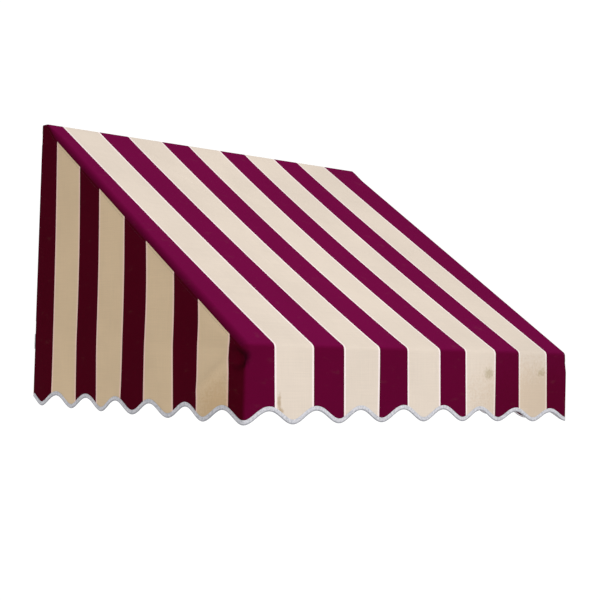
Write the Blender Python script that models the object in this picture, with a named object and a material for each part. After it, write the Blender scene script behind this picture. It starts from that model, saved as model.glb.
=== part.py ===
"""Fixed-frame window awning: an aluminium tube frame on wall brackets, carrying a sewn canvas cover.

The wall plane is y = 0 and the awning stands out from it towards -y. +x is to the right as the
wall is faced, +z is up. The origin is the centre of the rear face of the middle header bracket.
Units are metres.
"""

import math

import bmesh
import bpy
from mathutils import Matrix, Vector

# ---- driving dimensions -------------------------------------------------------------------------

WIDTH = 1.146  # over the canvas of the two side panels
PROJECTION = 0.915  # wall to the face of the front valance
HEIGHT = 0.762  # top of the cover to the lowest point of the hem
VALANCE = 0.179  # sharp corner of roof and front down to the lowest point of the hem

CANVAS = 0.0015  # thickness of the canvas solids
GAP = 0.0003  # between two pieces that touch
EASE = 0.0005  # between the canvas and the tubes it lies on

TUBE_R = 0.0127
TUBE_WALL = 0.0015
STUB_R = 0.0125  # collars of the castings, a hair under the tubes
HUB_R = 0.0129
SPIGOT_R = TUBE_R - TUBE_WALL - GAP
SPIGOT_LENGTH = 0.028
SPIGOT_ROOT = 0.004  # of a spigot, inside its casting
BAR_STUB = 0.022  # front casting's centre to the end of the front bar
FORK_STUB = 0.049  # and to the ends of the arm and the rafter, which meet at a sharp angle
ROUND_SIDES = 24

HEADER_SIDE = 0.0254
HEADER_WALL = 0.002
HEADER_STAND_OFF = 0.006  # wall plane to the rear face of the header
HEADER_ROUND_OUT = 0.002  # radius of its outer edges
HEADER_ROUND_IN = 0.0008
RAFTER_ROOT = 0.006  # where a rafter's centre line starts, behind the front face of the header
RAFTER_STUB = 0.030  # from there to the end of the rafter
UPRIGHT_STUB = 0.010  # underside of the header to the end of the upright

FOOT_STUB = 0.024  # foot casting's centre to the ends of its tubes
FOOT_BOSS_END = -0.001  # y where the boss runs into the flange
FLANGE_THICK = 0.004
FLANGE_OUT = 0.0124  # reach of the flange past the upright's centre line, away from the opening
FLANGE_IN = 0.056  # and towards the middle
FLANGE_HALF_HIGH = 0.020
FLANGE_HOLES = (0.026, 0.045)  # from the upright's centre line

BRACKET_WIDTH = 0.040
BRACKET_LEG = 0.044
BRACKET_LEDGE = 0.034
BRACKET_PLATE = 0.003
BRACKET_FILLET = 0.002
BRACKET_X = 0.42  # of the outer two header brackets
BRACKET_HOLE_X = 0.012  # of a wall hole from the bracket's middle
BRACKET_HOLE_Z = -0.004
WALL_HOLE_R = 0.0028
WALL_HOLE_SIDES = 16
WALL_DRILL = 0.010  # half length of the cutter for a wall hole

SCALLOPS_IN_FRONT = 8
SCALLOP_PITCH = WIDTH / SCALLOPS_IN_FRONT
SCALLOP_DEPTH = 0.030
STEPS_PER_SCALLOP = 8
BINDING_WIDTH = 0.010
BINDING_THICK = 0.0007
FLAP_RAISE = 0.003  # lower edge of the roof panel's rear flap above the underside of the header

SIDE_FLAP_REACH = 0.017  # of a side panel's flap past the upright's centre line
SIDE_FLAP_FOOT = 0.036  # its lower end above the foot casting's centre
SIDE_FLAP_HEAD = 0.012  # its upper end below the header
FLAP_SINK = 0.0004  # of the flap into the panel it's joined to
FLAP_INSET = 0.0001  # of its rear face from the panel's rear edge

STRAP_THICK = 0.001
STRAP_SEAM_LOW = 0.046  # lower edge of a strap, below the tube it wraps
STRAP_FOLD_LOW = 0.026  # where it leaves the cover for the tube
STRAP_END_TURN = math.radians(40)  # where it ends on the far side of the tube
FRONT_STRAP_SHORT = 0.20  # how much shorter the front strap is than the front bar's span
ARM_STRAP_NEAR = 0.11  # its front end behind the front bar
ARM_STRAP_FAR = 0.09  # its rear end in front of the wall

SCREW_HEAD_R = 0.0040
SCREW_HEAD_HIGH = 0.0018
SCREW_R = 0.0018
SCREW_LENGTH = 0.009
DRILL_R = SCREW_R + GAP
SCREW_SETBACK = 0.013  # of a joint screw from the end of its tube
TOP_SCREWS_X = (-0.50, -0.25, 0.0, 0.25, 0.50)  # through the roof panel's flap into the header
SIDE_SCREWS_Z = (-0.06, -0.26, -0.46)  # through a side panel's flap into the upright
DRILL_LEAD = 0.003  # of a drill hole's cutter above the surface
DRILL_SIDES = 12

# ---- places worked out from them ----------------------------------------------------------------

BRACKET_TOP = BRACKET_LEG / 2
HEADER_LOW = BRACKET_TOP + GAP
HEADER_Z = HEADER_LOW + HEADER_SIDE / 2
HEADER_Y = -(HEADER_STAND_OFF + HEADER_SIDE / 2)
HEADER_FRONT = HEADER_Y - HEADER_SIDE / 2

COVER_R = TUBE_R + EASE  # canvas, inner face, round a tube
OUTER_R = COVER_R + CANVAS  # canvas, outer face, round a tube
COVER_TOP = HEADER_LOW + HEADER_SIDE + EASE + CANVAS
COVER_BACK = -HEADER_STAND_OFF + EASE + CANVAS
HEM_LOW = COVER_TOP - HEIGHT
SIDE_X = WIDTH / 2 - OUTER_R  # centre lines of the rafters, arms and uprights
FRONT_Y = -(PROJECTION - OUTER_R)  # centre line of the front bar


def slope_from(front_z):
    """Angle of the roof above the horizontal when the front bar's centre is at this height."""
    across = HEADER_FRONT - FRONT_Y
    up = COVER_TOP - front_z
    return math.atan2(up, across) - math.asin(OUTER_R / math.hypot(across, up))


def front_bar_height():
    """Height of the front bar's centre that gives the valance its depth; it settles in a few rounds."""
    corner = HEM_LOW + VALANCE
    height = corner
    for _ in range(20):
        turn = math.pi / 2 - slope_from(height)
        height = corner - OUTER_R * math.tan(turn / 2)
    return height


FRONT_Z = front_bar_height()
SLOPE = slope_from(FRONT_Z)
UP_SLOPE = Vector((0, math.cos(SLOPE), math.sin(SLOPE)))
OFF_SLOPE = Vector((0, -math.sin(SLOPE), math.cos(SLOPE)))

# ---- materials ----------------------------------------------------------------------------------


def material(name, colour, roughness, metallic=0.0):
    made = bpy.data.materials.new(name)
    made.use_nodes = True
    shader = made.node_tree.nodes["Principled BSDF"]
    shader.inputs["Base Color"].default_value = (*colour, 1.0)
    shader.inputs["Roughness"].default_value = roughness
    shader.inputs["Metallic"].default_value = metallic
    made.diffuse_color = (*colour, 1.0)
    return made


def clear_scene():
    for thing in list(bpy.data.objects):
        bpy.data.objects.remove(thing)


clear_scene()
BURGUNDY = material("striped_canvas", (0.17, 0.004, 0.055), 0.85)
TAPE = material("binding_tape", (0.68, 0.68, 0.70), 0.8)
STRAP = material("strap_canvas", (0.62, 0.55, 0.44), 0.85)
ALUMINIUM = material("mill_aluminium", (0.72, 0.73, 0.74), 0.38, 0.9)
CASTING = material("cast_aluminium", (0.60, 0.61, 0.62), 0.5, 0.9)
STEEL = material("zinc_steel", (0.62, 0.63, 0.64), 0.32, 1.0)

# ---- general shapes -----------------------------------------------------------------------------


def place(name, bm, finish, matrix=None):
    """Turns a bmesh into an object of the scene."""
    bmesh.ops.recalc_face_normals(bm, faces=bm.faces)
    mesh = bpy.data.meshes.new(name)
    bm.to_mesh(mesh)
    bm.free()
    thing = bpy.data.objects.new(name, mesh)
    bpy.context.scene.collection.objects.link(thing)
    thing.matrix_world = matrix or Matrix.Identity(4)
    if finish:
        mesh.materials.append(finish)
        mesh.shade_smooth()
        mesh.set_sharp_from_angle(angle=math.radians(35))
    return thing


def along(start, direction):
    """Matrix that puts a shape's own +z along a direction, from a start point."""
    turn = Vector(direction).to_track_quat("Z", "Y").to_matrix().to_4x4()
    return Matrix.Translation(start) @ turn


def helper(thing):
    """Marks a cutter or an added lump, which isn't a piece by itself."""
    thing.hide_render = True
    thing.display_type = "WIRE"
    return thing


def solid_rod(name, start, end, radius, finish=None, sides=ROUND_SIDES):
    start, end = Vector(start), Vector(end)
    length = (end - start).length
    bm = bmesh.new()
    bmesh.ops.create_cone(
        bm, cap_ends=True, segments=sides, radius1=radius, radius2=radius, depth=length
    )
    bmesh.ops.translate(bm, verts=bm.verts, vec=(0, 0, length / 2))
    return place(name, bm, finish, along(start, end - start))


def block(name, low, high, finish=None):
    low, high = Vector(low), Vector(high)
    bm = bmesh.new()
    bmesh.ops.create_cube(bm, size=1.0)
    bmesh.ops.scale(bm, verts=bm.verts, vec=high - low)
    bmesh.ops.translate(bm, verts=bm.verts, vec=(low + high) / 2)
    return place(name, bm, finish)


def ball(name, centre, radius):
    bm = bmesh.new()
    bmesh.ops.create_uvsphere(bm, u_segments=ROUND_SIDES, v_segments=12, radius=radius)
    return place(name, bm, None, Matrix.Translation(centre))


def boolean(thing, other, operation):
    """Adds or cuts with a helper, which stays in the scene unrendered."""
    step = thing.modifiers.new(operation.title(), "BOOLEAN")
    step.operation = operation
    step.solver = "EXACT"
    step.object = helper(other)
    return thing


def ring_tube(name, start, end, profile_outer, profile_inner, finish):
    """A tube extruded from the flat ring between two closed outlines of equal count."""
    start, end = Vector(start), Vector(end)
    bm = bmesh.new()
    outer = [bm.verts.new((*p, 0)) for p in profile_outer]
    inner = [bm.verts.new((*p, 0)) for p in profile_inner]
    count = len(outer)
    faces = []
    for i in range(count):
        after = (i + 1) % count
        faces.append(bm.faces.new((outer[i], outer[after], inner[after], inner[i])))
    grown = bmesh.ops.extrude_face_region(bm, geom=faces)
    moved = [item for item in grown["geom"] if isinstance(item, bmesh.types.BMVert)]
    bmesh.ops.translate(bm, verts=moved, vec=(0, 0, (end - start).length))
    return place(name, bm, finish, along(start, end - start))


def circle(radius, sides=ROUND_SIDES):
    return [
        (radius * math.cos(a), radius * math.sin(a))
        for a in (2 * math.pi * i / sides for i in range(sides))
    ]


def rounded_square(side, radius, steps=3):
    """Outline of a square tube, with an arc at each corner."""
    points = []
    for corner in range(4):
        middle = math.pi / 4 + corner * math.pi / 2
        reach = (side / 2 - radius) * math.sqrt(2)
        for i in range(steps + 1):
            turn = middle - math.pi / 4 + i * math.pi / 2 / steps
            points.append(
                (
                    reach * math.cos(middle) + radius * math.cos(turn),
                    reach * math.sin(middle) + radius * math.sin(turn),
                )
            )
    return points


def round_tube(name, start, end):
    return ring_tube(
        name, start, end, circle(TUBE_R), circle(TUBE_R - TUBE_WALL), ALUMINIUM
    )


def fold_sheet(name, outline, width, centre_x, thickness, finish):
    """A strip bent along an outline in the y-z plane, extruded in x and given its thickness."""
    bm = bmesh.new()
    for y, z in outline:
        bm.verts.new((centre_x - width / 2, y, z))
    bm.verts.ensure_lookup_table()
    edges = [bm.edges.new(bm.verts[i : i + 2]) for i in range(len(outline) - 1)]
    grown = bmesh.ops.extrude_edge_only(bm, edges=edges)
    moved = [item for item in grown["geom"] if isinstance(item, bmesh.types.BMVert)]
    bmesh.ops.translate(bm, verts=moved, vec=(width, 0, 0))
    thing = place(name, bm, finish)
    thicken(thing, thickness)
    return thing


def thicken(thing, thickness, offset=0.0):
    step = thing.modifiers.new("Thickness", "SOLIDIFY")
    step.thickness = thickness
    step.offset = offset
    step.use_even_offset = True
    return thing


# ---- the frame ----------------------------------------------------------------------------------


def screw(name, point, inward, drilled, finish=STEEL, lift=GAP):
    """A pan-head self-drilling screw with its head on `point`, and its hole in each drilled piece."""
    point, inward = Vector(point), Vector(inward).normalized()
    bm = bmesh.new()
    profile = [
        (0, SCREW_HEAD_HIGH),
        (SCREW_HEAD_R * 0.6, SCREW_HEAD_HIGH),
        (SCREW_HEAD_R, SCREW_HEAD_HIGH * 0.45),
        (SCREW_HEAD_R, 0),
        (SCREW_R, 0),
        (SCREW_R, -SCREW_LENGTH + 2 * SCREW_R),
        (0, -SCREW_LENGTH),
    ]
    line = [bm.verts.new((r, 0, z)) for r, z in profile]
    edges = [bm.edges.new(line[i : i + 2]) for i in range(len(line) - 1)]
    bmesh.ops.spin(
        bm,
        geom=line + edges,
        axis=(0, 0, 1),
        cent=(0, 0, 0),
        angle=2 * math.pi,
        steps=10,
        use_merge=True,
    )
    bmesh.ops.remove_doubles(bm, verts=bm.verts, dist=1e-6)
    head = point - inward * lift
    made = place(name, bm, finish, along(head, -inward))
    drill_end = point + inward * (SCREW_LENGTH + GAP)
    for i, piece in enumerate(drilled):
        hole = solid_rod(
            f"{name}_hole_{i}", point - inward * DRILL_LEAD, drill_end, DRILL_R, sides=DRILL_SIDES
        )
        boolean(piece, hole, "DIFFERENCE")
    return made


def spigot_joint(name, tube, casting, tube_end, tube_direction, screw_side):
    """The screw that holds a tube on its spigot; screw_side points from the axis to the head."""
    axis_point = Vector(tube_end) + Vector(tube_direction) * SCREW_SETBACK
    side = Vector(screw_side).normalized()
    return screw(name, axis_point + side * TUBE_R, -side, [tube, casting])


def add_arm(casting, name, centre, direction, stub):
    """A collar and a spigot that leave a casting; returns the point where the tube begins."""
    centre, direction = Vector(centre), Vector(direction).normalized()
    shoulder = centre + direction * stub
    end = shoulder + direction * SPIGOT_LENGTH
    boolean(casting, solid_rod(f"{name}_collar", centre, shoulder, STUB_R), "UNION")
    inside = shoulder - direction * SPIGOT_ROOT
    boolean(casting, solid_rod(f"{name}_spigot", inside, end, SPIGOT_R), "UNION")
    return shoulder + direction * GAP


def front_corner(label, x):
    """Three-way casting at the front: takes the front bar, the arm and the rafter."""
    centre = Vector((x, FRONT_Y, FRONT_Z))
    inward = Vector((-math.copysign(1, x), 0, 0))
    casting = ball(f"front_corner_{label}", centre, HUB_R)
    casting.data.materials.append(CASTING)
    ends = {
        "bar": add_arm(casting, f"fc_bar_{label}", centre, inward, BAR_STUB),
        "arm": add_arm(casting, f"fc_arm_{label}", centre, (0, 1, 0), FORK_STUB),
        "rafter": add_arm(casting, f"fc_rafter_{label}", centre, UP_SLOPE, FORK_STUB),
    }
    return casting, ends


def header_corner(label, x):
    """Three-way casting at the top: takes the square header, the upright and the rafter."""
    half = HEADER_SIDE / 2
    inward = -math.copysign(1, x)
    casting = block(
        f"header_corner_{label}",
        (x - half, HEADER_Y - half, HEADER_Z - half),
        (x + half, HEADER_Y + half, HEADER_Z + half),
        CASTING,
    )
    reach = x + inward * (half + SPIGOT_LENGTH)
    root = x + inward * (half - SPIGOT_ROOT)
    grip = half - HEADER_WALL - GAP
    spigot = block(
        f"hc_header_{label}",
        (min(root, reach), HEADER_Y - grip, HEADER_Z - grip),
        (max(root, reach), HEADER_Y + grip, HEADER_Z + grip),
    )
    boolean(casting, spigot, "UNION")
    rafter_from = rafter_point(x, HEADER_FRONT + RAFTER_ROOT)
    upright_stub = half + UPRIGHT_STUB
    upright_from = Vector((x, HEADER_Y, HEADER_Z))
    ends = {
        "header": x + inward * (half + GAP),
        "rafter": add_arm(casting, f"hc_rafter_{label}", rafter_from, -UP_SLOPE, RAFTER_STUB),
        "upright": add_arm(casting, f"hc_upright_{label}", upright_from, (0, 0, -1), upright_stub),
    }
    return casting, ends


def rafter_point(x, y):
    """The point of a rafter's centre line at this y."""
    return Vector((x, y, FRONT_Z + (y - FRONT_Y) * math.tan(SLOPE)))


def wall_hole(thing, name, x, z):
    """Cuts the hole of one wall screw."""
    start, end = (x, -WALL_DRILL, z), (x, WALL_DRILL, z)
    boolean(thing, solid_rod(name, start, end, WALL_HOLE_R, sides=WALL_HOLE_SIDES), "DIFFERENCE")


def foot_bracket(label, x):
    """Elbow casting with a wall flange: takes the upright and the arm."""
    inward = -math.copysign(1, x)
    centre = Vector((x, HEADER_Y, FRONT_Z))
    casting = ball(f"foot_bracket_{label}", centre, HUB_R)
    casting.data.materials.append(CASTING)
    ends = {
        "upright": add_arm(casting, f"fb_up_{label}", centre, (0, 0, 1), FOOT_STUB),
        "arm": add_arm(casting, f"fb_arm_{label}", centre, (0, -1, 0), FOOT_STUB),
    }
    boss = solid_rod(f"fb_boss_{label}", centre, (x, FOOT_BOSS_END, FRONT_Z), STUB_R)
    boolean(casting, boss, "UNION")
    edges = sorted((x - inward * FLANGE_OUT, x + inward * FLANGE_IN))
    flange = block(
        f"fb_flange_{label}",
        (edges[0], -FLANGE_THICK, FRONT_Z - FLANGE_HALF_HIGH),
        (edges[1], 0, FRONT_Z + FLANGE_HALF_HIGH),
    )
    boolean(casting, flange, "UNION")
    for i, reach in enumerate(FLANGE_HOLES):
        wall_hole(casting, f"fb_hole_{label}_{i}", x + inward * reach, FRONT_Z)
    return casting, ends


def header_bracket(label, x):
    """Angle bracket: a leg on the wall and a ledge under the header."""
    half = BRACKET_WIDTH / 2
    outline = [
        (0, -BRACKET_LEG / 2),
        (-BRACKET_PLATE, -BRACKET_LEG / 2),
        (-BRACKET_PLATE, BRACKET_TOP - BRACKET_PLATE - BRACKET_FILLET),
        (-BRACKET_PLATE - BRACKET_FILLET, BRACKET_TOP - BRACKET_PLATE),
        (-BRACKET_LEDGE, BRACKET_TOP - BRACKET_PLATE),
        (-BRACKET_LEDGE, BRACKET_TOP),
        (0, BRACKET_TOP),
    ]
    bm = bmesh.new()
    face = bm.faces.new([bm.verts.new((x - half, y, z)) for y, z in outline])
    grown = bmesh.ops.extrude_face_region(bm, geom=[face])
    moved = [item for item in grown["geom"] if isinstance(item, bmesh.types.BMVert)]
    bmesh.ops.translate(bm, verts=moved, vec=(BRACKET_WIDTH, 0, 0))
    bracket = place(f"header_bracket_{label}", bm, STEEL)
    for i, side in enumerate((-1, 1)):
        wall_hole(bracket, f"hb_hole_{label}_{i}", x + side * BRACKET_HOLE_X, BRACKET_HOLE_Z)
    return bracket


def build_frame():
    """The tubes, castings and brackets, and the screws that join them."""
    drillable = {}
    header_ends = {}
    corners = {}
    for label, side in (("left", -1), ("right", 1)):
        x = side * SIDE_X
        inward = (-side, 0, 0)
        top, top_ends = header_corner(label, x)
        front, front_ends = front_corner(label, x)
        foot, foot_ends = foot_bracket(label, x)
        rafter = round_tube(f"rafter_{label}", front_ends["rafter"], top_ends["rafter"])
        arm = round_tube(f"arm_{label}", front_ends["arm"], foot_ends["arm"])
        upright = round_tube(f"upright_{label}", foot_ends["upright"], top_ends["upright"])
        spigot_joint(
            f"screw_rafter_top_{label}", rafter, top, top_ends["rafter"], -UP_SLOPE, -OFF_SLOPE
        )
        spigot_joint(
            f"screw_rafter_front_{label}", rafter, front, front_ends["rafter"], UP_SLOPE, inward
        )
        spigot_joint(f"screw_arm_front_{label}", arm, front, front_ends["arm"], (0, 1, 0), inward)
        spigot_joint(f"screw_arm_foot_{label}", arm, foot, foot_ends["arm"], (0, -1, 0), inward)
        spigot_joint(
            f"screw_upright_top_{label}", upright, top, top_ends["upright"], (0, 0, -1), inward
        )
        spigot_joint(
            f"screw_upright_foot_{label}", upright, foot, foot_ends["upright"], (0, 0, 1), inward
        )
        header_ends[label] = top_ends["header"]
        corners[label] = (top, front, front_ends["bar"])
        drillable[f"upright_{label}"] = upright

    header = ring_tube(
        "header_bar",
        (header_ends["left"], HEADER_Y, HEADER_Z),
        (header_ends["right"], HEADER_Y, HEADER_Z),
        rounded_square(HEADER_SIDE, HEADER_ROUND_OUT),
        rounded_square(HEADER_SIDE - 2 * HEADER_WALL, HEADER_ROUND_IN),
        ALUMINIUM,
    )
    front_bar = round_tube("front_bar", corners["left"][2], corners["right"][2])
    for label, side in (("left", -1), ("right", 1)):
        top, front, bar_end = corners[label]
        screw(
            f"screw_header_{label}",
            (header_ends[label] - side * SCREW_SETBACK, HEADER_Y, HEADER_LOW),
            (0, 0, 1),
            [header, top],
        )
        spigot_joint(f"screw_front_bar_{label}", front_bar, front, bar_end, (-side, 0, 0), (0, 1, 0))

    for label, x in (("left", -BRACKET_X), ("centre", 0.0), ("right", BRACKET_X)):
        bracket = header_bracket(label, x)
        ledge_low = BRACKET_TOP - BRACKET_PLATE
        screw(f"screw_bracket_{label}", (x, HEADER_Y, ledge_low), (0, 0, 1), [bracket, header])
    drillable["header"] = header
    return drillable


# ---- the cover ----------------------------------------------------------------------------------


def hem_height(distance):
    """Height of the hem's lower edge at a distance from a front corner: each corner is a low point."""
    return HEM_LOW + SCALLOP_DEPTH / 2 * (1 - math.cos(2 * math.pi * distance / SCALLOP_PITCH))


def hem_stations(length):
    """Distances from a front corner at which the hem has points, over one edge."""
    step = SCALLOP_PITCH / STEPS_PER_SCALLOP
    count = int(length / step + 1e-6)
    stations = [i * step for i in range(count + 1)]
    if length - stations[-1] > step * 0.2:
        stations.append(length)
    else:
        stations[-1] = length
    return stations


def front_arc(radius, steps=4):
    """Points round the front bar, from the roof's slope to the upright front face."""
    first = math.pi / 2 + SLOPE
    return [
        (FRONT_Y + radius * math.cos(a), FRONT_Z + radius * math.sin(a))
        for a in (first + i * (math.pi - first) / steps for i in range(steps + 1))
    ]


def roof_panel():
    """One length of canvas: hem flap behind the header, roof, bend over the front bar, valance."""
    half = WIDTH / 2 - CANVAS - GAP
    edge_rise = BINDING_THICK + GAP
    profile = [
        (COVER_BACK, HEADER_LOW + FLAP_RAISE),
        (COVER_BACK, COVER_TOP),
        (HEADER_FRONT, COVER_TOP),
        *front_arc(OUTER_R),
    ]
    bm = bmesh.new()
    left = [bm.verts.new((-half, y, z)) for y, z in profile]
    right = [bm.verts.new((half, y, z)) for y, z in profile]
    for i in range(len(profile) - 1):
        bm.faces.new((left[i], left[i + 1], right[i + 1], right[i]))
    hem = [
        bm.verts.new((u - WIDTH / 2, -PROJECTION, hem_height(u) + edge_rise))
        for u in hem_stations(WIDTH)[1:-1]
    ]
    first_rise = hem_height(SCALLOP_PITCH / STEPS_PER_SCALLOP) - HEM_LOW
    inset = (WIDTH / 2 - half) * STEPS_PER_SCALLOP / SCALLOP_PITCH
    end_z = HEM_LOW + first_rise * inset + edge_rise
    hem.insert(0, bm.verts.new((-half, -PROJECTION, end_z)))
    hem.append(bm.verts.new((half, -PROJECTION, end_z)))
    bm.faces.new((right[-1], left[-1], *hem))
    panel = place("roof_panel", bm, BURGUNDY)
    thicken(panel, CANVAS, -1.0)
    return panel


def side_panel(label, side):
    """Flat canvas side, with a flap folded in behind the upright."""
    edge_rise = BINDING_THICK + GAP
    length = PROJECTION + COVER_BACK
    outline = [
        (COVER_BACK, COVER_TOP),
        (HEADER_FRONT, COVER_TOP),
        *front_arc(OUTER_R),
        *[(-PROJECTION + u, hem_height(u) + edge_rise) for u in hem_stations(length)],
    ]
    bm = bmesh.new()
    outer = side * WIDTH / 2
    face = bm.faces.new([bm.verts.new((outer, y, z)) for y, z in outline])
    grown = bmesh.ops.extrude_face_region(bm, geom=[face])
    moved = [item for item in grown["geom"] if isinstance(item, bmesh.types.BMVert)]
    bmesh.ops.translate(bm, verts=moved, vec=(-side * CANVAS, 0, 0))
    panel = place(f"side_panel_{label}", bm, BURGUNDY)
    edges = sorted((outer - side * FLAP_SINK, side * (SIDE_X - SIDE_FLAP_REACH)))
    flap = block(
        f"side_flap_{label}",
        (edges[0], COVER_BACK - CANVAS, FRONT_Z + SIDE_FLAP_FOOT),
        (edges[1], COVER_BACK - FLAP_INSET, HEADER_LOW - SIDE_FLAP_HEAD),
    )
    boolean(panel, flap, "UNION")
    return panel


def hem_binding():
    """Tape folded over the scalloped edge, in one length from wall to wall round the front."""
    middle = CANVAS / 2
    side_x = WIDTH / 2 - middle
    front_y = -PROJECTION + middle
    side_length = PROJECTION + COVER_BACK
    stops = []
    for u in reversed(hem_stations(side_length)[1:]):
        stops.append((-side_x, -PROJECTION + u, -1, 0, hem_height(u)))
    stops.append((-side_x, front_y, -1, -1, HEM_LOW))
    for u in hem_stations(WIDTH)[1:-1]:
        stops.append((u - WIDTH / 2, front_y, 0, -1, hem_height(u)))
    stops.append((side_x, front_y, 1, -1, HEM_LOW))
    for u in hem_stations(side_length)[1:]:
        stops.append((side_x, -PROJECTION + u, 1, 0, hem_height(u)))
    slot = middle + GAP
    skin = slot + BINDING_THICK
    section = [
        (skin, 0),
        (skin, BINDING_WIDTH),
        (slot, BINDING_WIDTH),
        (slot, BINDING_THICK),
        (-slot, BINDING_THICK),
        (-slot, BINDING_WIDTH),
        (-skin, BINDING_WIDTH),
        (-skin, 0),
    ]
    bm = bmesh.new()
    rings = []
    for x, y, out_x, out_y, z in stops:
        rings.append([bm.verts.new((x + o * out_x, y + o * out_y, z + up)) for o, up in section])
    count = len(section)
    for near, far in zip(rings, rings[1:]):
        for i in range(count):
            after = (i + 1) % count
            bm.faces.new((near[i], near[after], far[after], far[i]))
    bm.faces.new(rings[0])
    bm.faces.new(rings[-1])
    return place("hem_binding", bm, TAPE)


def strap_outline():
    """Section of a hold-down strap, from its seam on the cover, under a tube and up its far side.

    It is drawn for a tube at (0, 0) with the cover's inner face at -COVER_R.
    """
    seam = -COVER_R + GAP + STRAP_THICK / 2
    wrap = TUBE_R + EASE + STRAP_THICK / 2
    start = (seam, -STRAP_SEAM_LOW)
    fold = (seam, -STRAP_FOLD_LOW)
    reach = math.hypot(*fold)
    tangent = math.atan2(fold[1], fold[0]) + math.acos(wrap / reach)
    turn = (STRAP_END_TURN - tangent) % (2 * math.pi)
    steps = 8
    arc = [
        (wrap * math.cos(tangent + turn * i / steps), wrap * math.sin(tangent + turn * i / steps))
        for i in range(steps + 1)
    ]
    return [start, fold, *arc]


def hold_down_straps():
    """Three strips sewn inside the cover that wrap the front bar and the two arms."""
    outline = strap_outline()
    front = [(FRONT_Y + y, FRONT_Z + z) for y, z in outline]
    fold_sheet("front_strap", front, 2 * SIDE_X - FRONT_STRAP_SHORT, 0.0, STRAP_THICK, STRAP)
    for label, side in (("left", -1), ("right", 1)):
        near, far = FRONT_Y + ARM_STRAP_NEAR, -ARM_STRAP_FAR
        bm = bmesh.new()
        line = [bm.verts.new((side * (SIDE_X - u), near, FRONT_Z + z)) for u, z in outline]
        edges = [bm.edges.new(line[i : i + 2]) for i in range(len(line) - 1)]
        grown = bmesh.ops.extrude_edge_only(bm, edges=edges)
        moved = [item for item in grown["geom"] if isinstance(item, bmesh.types.BMVert)]
        bmesh.ops.translate(bm, verts=moved, vec=(0, far - near, 0))
        thicken(place(f"arm_strap_{label}", bm, STRAP), STRAP_THICK)


def build_cover(drillable):
    """The sewn canvas, its binding and straps, and the screws through its rear flaps."""
    roof = roof_panel()
    sides = {"left": side_panel("left", -1), "right": side_panel("right", 1)}
    hem_binding()
    hold_down_straps()
    for i, x in enumerate(TOP_SCREWS_X):
        screw(
            f"screw_cover_top_{i + 1}", (x, COVER_BACK, HEADER_Z), (0, -1, 0), [roof, drillable["header"]]
        )
    for label, side in (("left", -1), ("right", 1)):
        for i, z in enumerate(SIDE_SCREWS_Z):
            screw(
                f"screw_cover_{label}_{i + 1}",
                (side * SIDE_X, COVER_BACK, z),
                (0, -1, 0),
                [sides[label], drillable[f"upright_{label}"]],
            )


build_cover(build_frame())
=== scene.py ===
"""Looks of a fixed-frame window awning: its canvas cover, hem tape, straps, metal and stage.

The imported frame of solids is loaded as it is. The canvas solids are then replaced by real sheets of
cloth, and every piece of the frame gets its finish. Units are metres: +x is to the right as the
wall is faced, the awning stands out from the wall plane y = 0 towards -y, and +z is up.
"""

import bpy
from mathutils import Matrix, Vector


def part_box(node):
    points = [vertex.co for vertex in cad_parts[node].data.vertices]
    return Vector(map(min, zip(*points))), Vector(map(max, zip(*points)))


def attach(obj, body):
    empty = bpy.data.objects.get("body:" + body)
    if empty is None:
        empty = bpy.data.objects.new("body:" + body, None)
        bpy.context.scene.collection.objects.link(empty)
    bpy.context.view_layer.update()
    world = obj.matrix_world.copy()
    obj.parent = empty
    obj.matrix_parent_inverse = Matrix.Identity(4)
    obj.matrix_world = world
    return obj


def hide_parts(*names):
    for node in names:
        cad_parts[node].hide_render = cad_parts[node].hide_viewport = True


bl_info = {
    "name": "Striped Window Awning",
    "version": (1, 0, 0),
    "blender": (4, 5, 0),
    "location": "View3D > Sidebar > Awning",
    "description": "Sews the striped canvas cover of a window awning and finishes its frame",
    "category": "Object",
}

import math

import bpy
import numpy as np
from bpy.props import FloatProperty, FloatVectorProperty, PointerProperty
from bpy.types import Operator, Panel, PropertyGroup
from mathutils import Matrix, Vector

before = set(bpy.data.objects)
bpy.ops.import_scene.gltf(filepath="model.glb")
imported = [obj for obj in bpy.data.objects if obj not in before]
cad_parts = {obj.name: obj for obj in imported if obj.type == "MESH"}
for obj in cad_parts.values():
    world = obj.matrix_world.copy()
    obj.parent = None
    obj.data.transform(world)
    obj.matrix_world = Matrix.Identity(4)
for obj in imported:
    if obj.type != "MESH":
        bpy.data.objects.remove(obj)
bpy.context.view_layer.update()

# ---- places read from the frame -----------------------------------------------------------------

ROOF_LOW, ROOF_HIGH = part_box("roof_panel")
BAR_LOW, BAR_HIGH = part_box("front_bar")
HEADER_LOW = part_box("header_bar")[0]
UPRIGHT_LOW, UPRIGHT_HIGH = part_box("upright_right")

HALF_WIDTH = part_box("side_panel_right")[1].x  # middle of the awning to the outer face of a side
FRONT_Y = ROOF_LOW.y  # outer face of the front valance
BACK_Y = ROOF_HIGH.y  # outer face of the flap behind the header
TOP_Z = ROOF_HIGH.z
HEM_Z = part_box("hem_binding")[0].z  # lowest point of the hem
BAR_Y = (BAR_LOW.y + BAR_HIGH.y) / 2
BAR_Z = (BAR_LOW.z + BAR_HIGH.z) / 2
TUBE_R = (BAR_HIGH.z - BAR_LOW.z) / 2
ARM_X = (UPRIGHT_LOW.x + UPRIGHT_HIGH.x) / 2
BEND_R = BAR_Y - FRONT_Y  # outer face of the canvas round the front bar

ACROSS = HEADER_LOW.y - BAR_Y
RISE = TOP_Z - BAR_Z
SLOPE = math.atan2(RISE, ACROSS) - math.asin(BEND_R / math.hypot(ACROSS, RISE))

# ---- how the cover is cut and sewn --------------------------------------------------------------

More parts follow.
